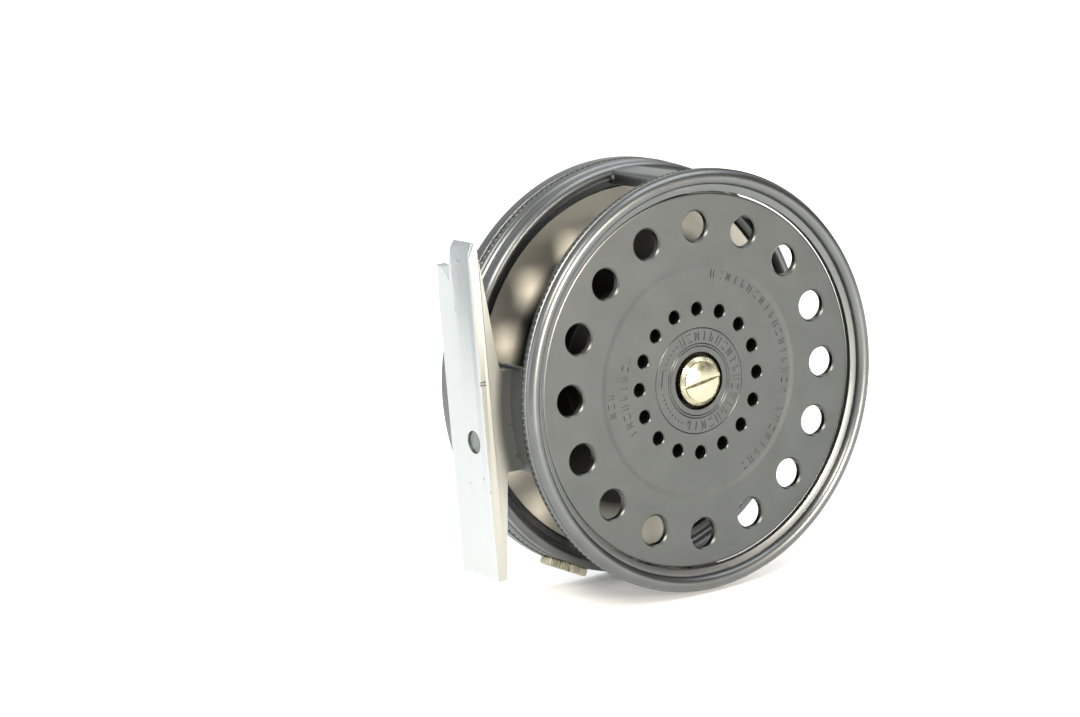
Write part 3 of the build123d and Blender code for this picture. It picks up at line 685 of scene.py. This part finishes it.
def reel_foot():
    """The blade, thinned towards both ends, with its neck down to the bridge."""
    root_top, root_bottom, tip_top, tip_bottom = 4.2, 4.0, 1.5, 1.8
    neck_top, neck_bottom = 8.5, -10.3
    rod, near, far = foot_rod_side, foot_low.y, foot_high.y
    length = foot_high.z - foot_low.z
    blade = block("reel_foot", (root_top, foot_width, length),
                  (rod + root_top / 2, 0, (foot_high.z + foot_low.z) / 2))
    bpy.ops.object.mode_set(mode="EDIT")
    # The reel side is planed down from the neck to each end.
    planed(blade, (rod + tip_top, 0, foot_high.z), (foot_high.z - neck_top, 0, root_top - tip_top))
    planed(blade, (rod + tip_bottom, 0, foot_low.z),
           (neck_bottom - foot_low.z, 0, tip_bottom - root_bottom))
    # The nose is planed off towards the rod side, and its near corner is rounded.
    planed(blade, (rod, 0, foot_high.z - 2.3), (-1.9, 0, 0.9))
    pick(blade, lambda edge: all(vertex.co.z > (foot_high.z - 3) * MM and vertex.co.y < 0
                                 for vertex in edge.verts), "EDGE")
    bpy.ops.mesh.bevel(offset=1.1 * MM, segments=6)
    close_up(blade)
    # The neck, hollowed below to sit on the bridge.
    low_x = rod + 2.0
    high_x = -sqrt((rim_radius - 1.89)**2 - neck_top**2) + 0.9
    neck = block("foot_neck", (high_x - low_x, foot_width, neck_top - neck_bottom),
                 ((high_x + low_x) / 2, 0, (neck_top + neck_bottom) / 2))
    cut(neck, round_cutter("saddle", rim_radius - 1.89, 40, (0, 0, 0), (90, 0, 0), 256))
    joining = blade.modifiers.new("neck", "BOOLEAN")
    joining.operation = "UNION"
    joining.solver = "EXACT"
    joining.object = neck
    apply_all(blade)
    bpy.data.objects.remove(neck)
    # The rod side is hollowed lengthwise.
    hollow = 0.45
    roller_radius = ((foot_width / 2)**2 + hollow**2) / (2 * hollow)
    cut(blade, round_cutter("roller", roller_radius, 80, (rod + hollow - roller_radius, 0, 0),
                            (0, 0, 0), 512))
    # The far corner of the nose has a steep nick, which leaves a small horn beside it.
    wedge = start("nose_nick", bpy.ops.mesh.primitive_plane_add, size=MM)
    bpy.ops.mesh.merge(type="CENTER")
    bpy.ops.mesh.select_mode(type="VERT")
    bpy.ops.mesh.select_all(action="SELECT")
    corners = [(2.4, 25.0), (4.4, 27.4), (6.5, 27.8), (6.5, 34.0), (0.9, 34.0), (0.9, 32.4), (1.7, 29.8)]
    bpy.ops.transform.translate(value=((rod - 1) * MM, corners[0][0] * MM, corners[0][1] * MM))
    for here, there in zip(corners, corners[1:]):
        step = (0, (there[0] - here[0]) * MM, (there[1] - here[1]) * MM)
        bpy.ops.mesh.extrude_vertices_move(TRANSFORM_OT_translate={"value": step})
    bpy.ops.mesh.select_all(action="SELECT")
    bpy.ops.mesh.edge_face_add()
    bpy.ops.mesh.extrude_region_move(TRANSFORM_OT_translate={"value": (8 * MM, 0, 0)})
    close_up(wedge)
    cut(blade, wedge)
    # The horn is filed off on a slant.
    cut(blade, block("horn_file", (4, 4, 6), (rod - 1.62, far + 0.9, 26.0), (14, 0, -38)))
    cut(blade, round_cutter("counterbore", 2.15, 4.2, (rod, -1.1, -4.6), (0, 90, 0)))
    round_edges(blade, 0.16, 3)
    cut(blade, round_cutter("edge_nick", 0.42, 1.3, (rod + 0.35, near + 0.05, 6.9), (0, 90, 0), 32))
    # A row of stamped marks down the near side.
    stamps = []
    for number in range(13):
        wide = (0.9, 0.9, 0.45, 0.9, 0.6)[number % 5]
        stamps.append(block("stamp", (wide, 0.16, 0.2), (rod + 4.6, near, 7.0 - 0.95 * number)))
    cut(blade, join(stamps, "stamps"))
    return blade


fit(reel_foot(), "frame", "bare_aluminium", "reel_foot")


def foot_rivets():
    """Both rivets: a dished, hammered end in the counterbore, and low heads inside the bridge."""
    low, high = in_mm("foot_rivets")
    pieces = []
    shapes = (((-1.1, -4.6), low.x, True), ((1.1, 4.6), low.x + 2.6, False))
    for (along, up), rod_end, shows in shapes:
        end = 2.13 if shows else 1.44
        length = high.x - rod_end
        outline = [(0, 0.35), (0.5, 0.32), (1.0, 0.2), (end - 0.25, 0.04), (end - 0.06, 0.02), (end, 0.1),
                   (end, 1.2), (1.44, 1.2), (1.44, length - 0.7), (2.13, length - 0.7),
                   (2.13, length), (0, length)]
        piece = turned("rivet", outline, 64)
        piece = placed(piece, turn=(0, 0, -90))
        pieces.append(placed(piece, (rod_end, along, up)))
    return join(pieces, "hammered_rivets")


fit(foot_rivets(), "frame", "rivet_alloy", "foot_rivets")


# ---------------------------------------------------------------- drum
def ring_cutter(name, first, circle, radius, chamfer, front, back):
    """Cutters for a ring of holes whose front edges are chamfered."""
    cutters = []
    for number in range(hole_count):
        turn = radians(first + 360 * number / hole_count)
        piece = round_cutter(name, radius, back - front + 2, (0, (back + front) / 2, 0), (90, 0, 0), 72)
        bpy.ops.object.mode_set(mode="EDIT")
        bpy.ops.mesh.select_all(action="SELECT")
        bpy.ops.mesh.bisect(plane_co=(0, (front + chamfer) * MM, 0), plane_no=(0, 1, 0))
        pick(piece, lambda vertex: vertex.co.y < front * MM, "VERT")
        grown = (radius + chamfer + 1.0) / radius
        bpy.ops.transform.resize(value=(grown, 1, grown), center_override=(0, 0, 0))
        bpy.ops.object.mode_set(mode="OBJECT")
        cutters.append(placed(piece, (circle * cos(turn), 0, circle * sin(turn))))
    return join(cutters, name)


# Engraved marks: (distance round, distance out, width, height) of each stroke of a mark.
mark_kinds = (
    ((-0.42, 0.0, 0.22, 1.0), (0.42, 0.0, 0.22, 1.0)),
    ((0.0, 0.0, 0.22, 1.0),),
    ((0.0, 0.42, 0.9, 0.16), (0.0, -0.42, 0.9, 0.16)),
    ((-0.3, 0.0, 0.22, 1.0), (0.3, -0.25, 0.22, 0.5)),
    ((-0.45, 0.0, 0.22, 1.0), (0.0, 0.0, 0.22, 0.6), (0.45, 0.0, 0.22, 1.0)),
)


def mark_row(radius, first, last, count, height, front, kinds=mark_kinds):
    """Cutters for a row of short engraved marks round the spindle."""
    strokes = []
    for number in range(count):
        for along, out, wide, high in kinds[number * 2 % len(kinds)]:
            angle = first + (last - first) * number / (count - 1) - degrees(along * height * 0.5 / radius)
            stroke = block("stroke", (high * height, 0.24, wide * height * 0.62),
                           (radius + out * height, front, 0))
            strokes.append(swung(stroke, angle))
    return strokes


def engraving(front, dish):
    """Every engraved mark of the face, as one cutter."""
    dot = (((0.0, 0.0, 0.45, 0.28),),)
    strokes = mark_row(8.45, 112, -112, 20, 1.7, dish)
    strokes += mark_row(8.45, 122, 148, 5, 1.2, dish, dot)
    strokes += mark_row(8.45, 188, 236, 9, 1.2, dish, dot)
    strokes.append(swung(block("stroke", (0.2, 0.24, 3.2), (8.5, dish, 0)), 168))
    strokes.append(swung(block("stroke", (0.9, 0.24, 0.2), (8.5, dish, 0)), 156))
    strokes += mark_row(20.0, 76, -64, 27, 1.5, dish)
    strokes += mark_row(17.2, 156, 204, 9, 1.6, dish)
    strokes += mark_row(20.1, 178, 188, 3, 1.5, dish)
    return join(strokes, "engraving")


def groove(radius, width, depth, front):
    """Outline points of a fine engraved circle, going outwards."""
    return [(radius - width / 2, front), (radius, front + depth), (radius + width / 2, front)]


def drum():
    """The drum: face, hollow arbor, hub and flange, with its two rings of holes."""
    recess_floor = drum_front + 1.4
    dish = drum_front + 0.12
    piece = turned("drum_with_holes", hollow_drum(dish, recess_floor, recess_floor + 1.4))
    cut(piece, ring_cutter("outer_holes", first_hole_angle, hole_circle, hole_radius, 0.3,
                           drum_front, face_back))
    cut(piece, ring_cutter("inner_holes", first_hole_angle, small_hole_circle, small_hole_radius, 0.2,
                           dish, face_back + 0.8))
    return cut(piece, engraving(drum_front, dish))


def hollow_drum(dish, recess_floor, web_back):
    """Outline of the drum. The arbor is hollow round the hub and open towards the check."""
    outline = [(1.95, recess_floor), (recess_radius, recess_floor), (recess_radius, dish + 0.12),
               (recess_radius + 0.12, dish)]
    for radius in (6.5, 7.0, 9.9):
        outline += groove(radius, 0.24, 0.12, dish)
    outline += [(20.9, dish), (21.05, dish), (21.25, dish - 0.012), (21.95, drum_front + 0.012),
                (22.15, drum_front), (22.3, drum_front),
                (drum_radius - 0.4, drum_front), (drum_radius - 0.25, drum_front),
                (drum_radius - 0.08, drum_front + 0.08), (drum_radius, drum_front + 0.25),
                (drum_radius, face_back - 0.1), (drum_radius - 0.1, face_back),
                (16.4, face_back), (16.0, face_back + 0.1),
                (arbor_radius, face_back + 0.5), (arbor_radius, flange_front - 0.5),
                (16.0, flange_front - 0.1), (16.4, flange_front), (drum_radius - 0.1, flange_front),
                (drum_radius, flange_front + 0.1), (drum_radius, flange_back - 0.1),
                (drum_radius - 0.1, flange_back), (3.9, flange_back), (3.9, web_back),
                (1.95, web_back)]
    return outline


fit(drum(), "drum", "grey_anodised_drum", "drum")


# ---------------------------------------------------------------- centre screw
def centre_screw():
    """A low domed head with a milled edge and a slot, on its thread."""
    top = screw_low.y
    shoulder = top + 1.1
    floor = drum_front + 1.4
    head, dome = 4.65, 3.75
    rise = 0.55
    bowl = (dome**2 + rise**2) / (2 * rise)
    sweep = degrees(asin(dome / bowl))
    outline = arc(0, top + bowl, bowl, -90, -90 + sweep, 12)
    outline += [(dome + 0.06, top + rise + 0.25), (dome + 0.22, top + rise + 0.25),
                (dome + 0.28, top + rise + 0.02), (head - 0.12, shoulder - 0.10), (head, shoulder + 0.05),
                (head, floor), (1.9, floor), (1.9, screw_high.y - 0.3), (1.6, screw_high.y),
                (0, screw_high.y)]
    teeth = 64
    steps = 4 * teeth

    def milled_edge(piece):
        def on_a_tooth(vertex):
            place = vertex.co / MM
            step = round(atan2(place.z, place.x) / (2 * pi / steps))
            return hypot(place.x, place.z) > dome + 0.25 and place.y < floor - 0.1 and step % 4 in (1, 2)

        pick(piece, on_a_tooth, "VERT")
        bpy.ops.transform.resize(value=(0.975, 1, 0.975), center_override=(0, 0, 0))

    piece = turned("centre_screw", outline, steps, shape=milled_edge)
    slot = start("slot", bpy.ops.mesh.primitive_cube_add, size=2 * MM)
    bpy.ops.transform.resize(value=(6, 0.8, 0.33))
    bpy.ops.object.mode_set(mode="OBJECT")
    placed(slot, (0, top + 0.1, 0), (0, -8, 0))
    return cut(piece, slot)


fit(centre_screw(), "centre_screw", "nickel_silver", "drum_screw")


# ---------------------------------------------------------------- check regulator
joints = {joint["name"]: joint for joint in frame["joints"]}
regulator_way = joints["regulator_turn"]["axis"]
regulator_seat = joints["regulator_turn"]["pos_m"]


def regulator_screw():
    """The milled disc that sets the check, with its slot and its stem into the rim."""
    teeth = 44
    steps = 4 * teeth
    head, thickness = 4.6, 1.7
    outline = [(0, 0), (head - 0.35, 0), (head - 0.25, 0.08), (head - 0.25, 0.3),
               (head - 0.25, thickness - 0.35), (head - 0.45, thickness - 0.1), (head - 0.9, thickness),
               (2.6, thickness), (2.4, thickness - 0.12), (2.2, thickness), (0, thickness)]

    def milled_edge(piece):
        def on_a_tooth(vertex):
            place = vertex.co / MM
            step = round(atan2(place.z, place.x) / (2 * pi / steps))
            return (head - 0.5 < hypot(place.x, place.z) < head - 0.2
                    and 0.2 < place.y < thickness - 0.05 and step % 4 in (1, 2))

        pick(piece, on_a_tooth, "VERT")
        bpy.ops.transform.resize(value=(head / (head - 0.25), 1, head / (head - 0.25)),
                                 center_override=(0, 0, 0))

    piece = turned("regulator_screw_head", outline, steps, shape=milled_edge)
    cut(piece, block("slot", (12, 1.0, 0.6), (0, thickness, 0), (0, 20, 0)))
    stem = round_cutter("stem", 1.0, 8.6, (0, -4.2, 0), (90, 0, 0), 32)
    piece = join([piece, stem], "regulator_screw_head")
    bpy.ops.object.shade_smooth_by_angle(angle=radians(30))
    placed(piece, turn=(0, 0, -90))
    angle = degrees(atan2(-regulator_way[2], -regulator_way[0]))
    swung(piece, angle)
    reach = rim_radius - 0.79 + 0.26
    way = Vector((-regulator_way[0], 0, -regulator_way[2]))
    return placed(piece, way * reach + Vector((0, regulator_seat[1] / MM, 0)))


fit(regulator_screw(), "regulator", "nickel_silver_milled", "regulator_screw")


# ---------------------------------------------------------------- stage, lights and camera
def area_light(name, place, target, size, power, colour):
    """A soft square light that looks at a point."""
    bpy.ops.object.select_all(action="DESELECT")
    bpy.ops.object.light_add(type="AREA", location=place)
    light = bpy.context.active_object
    light.name = name
    light.data.shape = "RECTANGLE"
    light.data.size, light.data.size_y = size
    light.data.energy = power
    light.data.color = colour
    light.rotation_euler = (Vector(target) - Vector(place)).to_track_quat("-Z", "Y").to_euler()
    return light


camera_place = Vector((-0.3704, -0.5267, 0.1394))
camera_right = Vector((0.8245, -0.5594, -0.0850)).normalized()
camera_ahead = Vector((0.535, 0.820, -0.205)).normalized()
camera_up = camera_right.cross(camera_ahead).normalized()


def room():
    """A white room that darkens towards its right front corner."""
    world = bpy.data.worlds.new("white room")
    bpy.context.scene.world = world
    world.use_nodes = True
    tree = world.node_tree
    background = tree.nodes["Background"]
    direction = tree.nodes.new("ShaderNodeTexCoord")
    facing = tree.nodes.new("ShaderNodeVectorMath")
    facing.operation = "DOT_PRODUCT"
    facing.inputs[1].default_value = (0.80, -0.59, -0.10)
    tree.links.new(direction.outputs["Generated"], facing.inputs[0])
    shade = tree.nodes.new("ShaderNodeValToRGB")
    ramp = shade.color_ramp
    ramp.elements[0].position = 0.0
    ramp.elements[0].color = (1.0, 1.0, 1.0, 1)
    ramp.elements[1].position = 1.0
    ramp.elements[1].color = (0.20, 0.195, 0.185, 1)
    middle = ramp.elements.new(0.45)
    middle.color = (0.50, 0.49, 0.47, 1)
    tree.links.new(facing.outputs["Value"], shade.inputs["Fac"])
    tree.links.new(shade.outputs["Color"], background.inputs["Color"])
    background.inputs["Strength"].default_value = 1.0
    # The wall seen behind the reel is plain white paper.
    paper = tree.nodes.new("ShaderNodeBackground")
    paper.inputs["Color"].default_value = (1.0, 1.0, 1.0, 1)
    seen = tree.nodes.new("ShaderNodeLightPath")
    both = tree.nodes.new("ShaderNodeMixShader")
    tree.links.new(seen.outputs["Is Camera Ray"], both.inputs[0])
    tree.links.new(background.outputs[0], both.inputs[1])
    tree.links.new(paper.outputs[0], both.inputs[2])
    tree.links.new(both.outputs[0], tree.nodes["World Output"].inputs["Surface"])


room()
bpy.ops.object.select_all(action="DESELECT")
bpy.ops.mesh.primitive_plane_add(size=8.0, location=(0, 0, frame_low.z * MM - 0.0005))
floor = named("floor")
floor_finish, floor_shader = new_finish("white paper", (0.97, 0.97, 0.97), 0.0, 0.9)
floor_shader.inputs["Emission Color"].default_value = (1.0, 1.0, 1.0, 1)
floor_shader.inputs["Emission Strength"].default_value = 0.12
floor.data.materials.append(floor_finish)

area_light("warm key", (0.10, -0.98, 0.17), (0, 0, 0), (0.24, 0.24), 14.5, (1.0, 0.92, 0.80))
area_light("left window", (-1.11, 0.36, 0.16), (0, 0, 0), (0.45, 0.9), 3.6, (1.0, 1.0, 0.98))
area_light("front left panel", (-0.62, -0.68, 0.80), (0, 0, 0), (0.4, 0.4), 12.0, (1.0, 0.95, 0.86))
area_light("low strip", (-0.66, 0.60, 0.05), (-0.05, 0, 0), (0.07, 0.22), 0.35, (1.0, 1.0, 1.0))
area_light("ceiling", (0.50, -0.05, 1.10), (0, 0, 0), (0.9, 0.9), 9.5, (0.93, 0.97, 1.0))

camera_data = bpy.data.cameras.new("camera")
camera_data.lens = 116.67
camera_data.sensor_width = 36.0
camera_data.clip_end = 20.0
camera = bpy.data.objects.new("camera", camera_data)
bpy.context.scene.collection.objects.link(camera)
turn = Matrix((camera_right, camera_up, -camera_ahead)).transposed()
camera.matrix_world = Matrix.Translation(camera_place) @ turn.to_4x4()
bpy.context.scene.camera = camera
bpy.context.scene.view_settings.view_transform = "Standard"
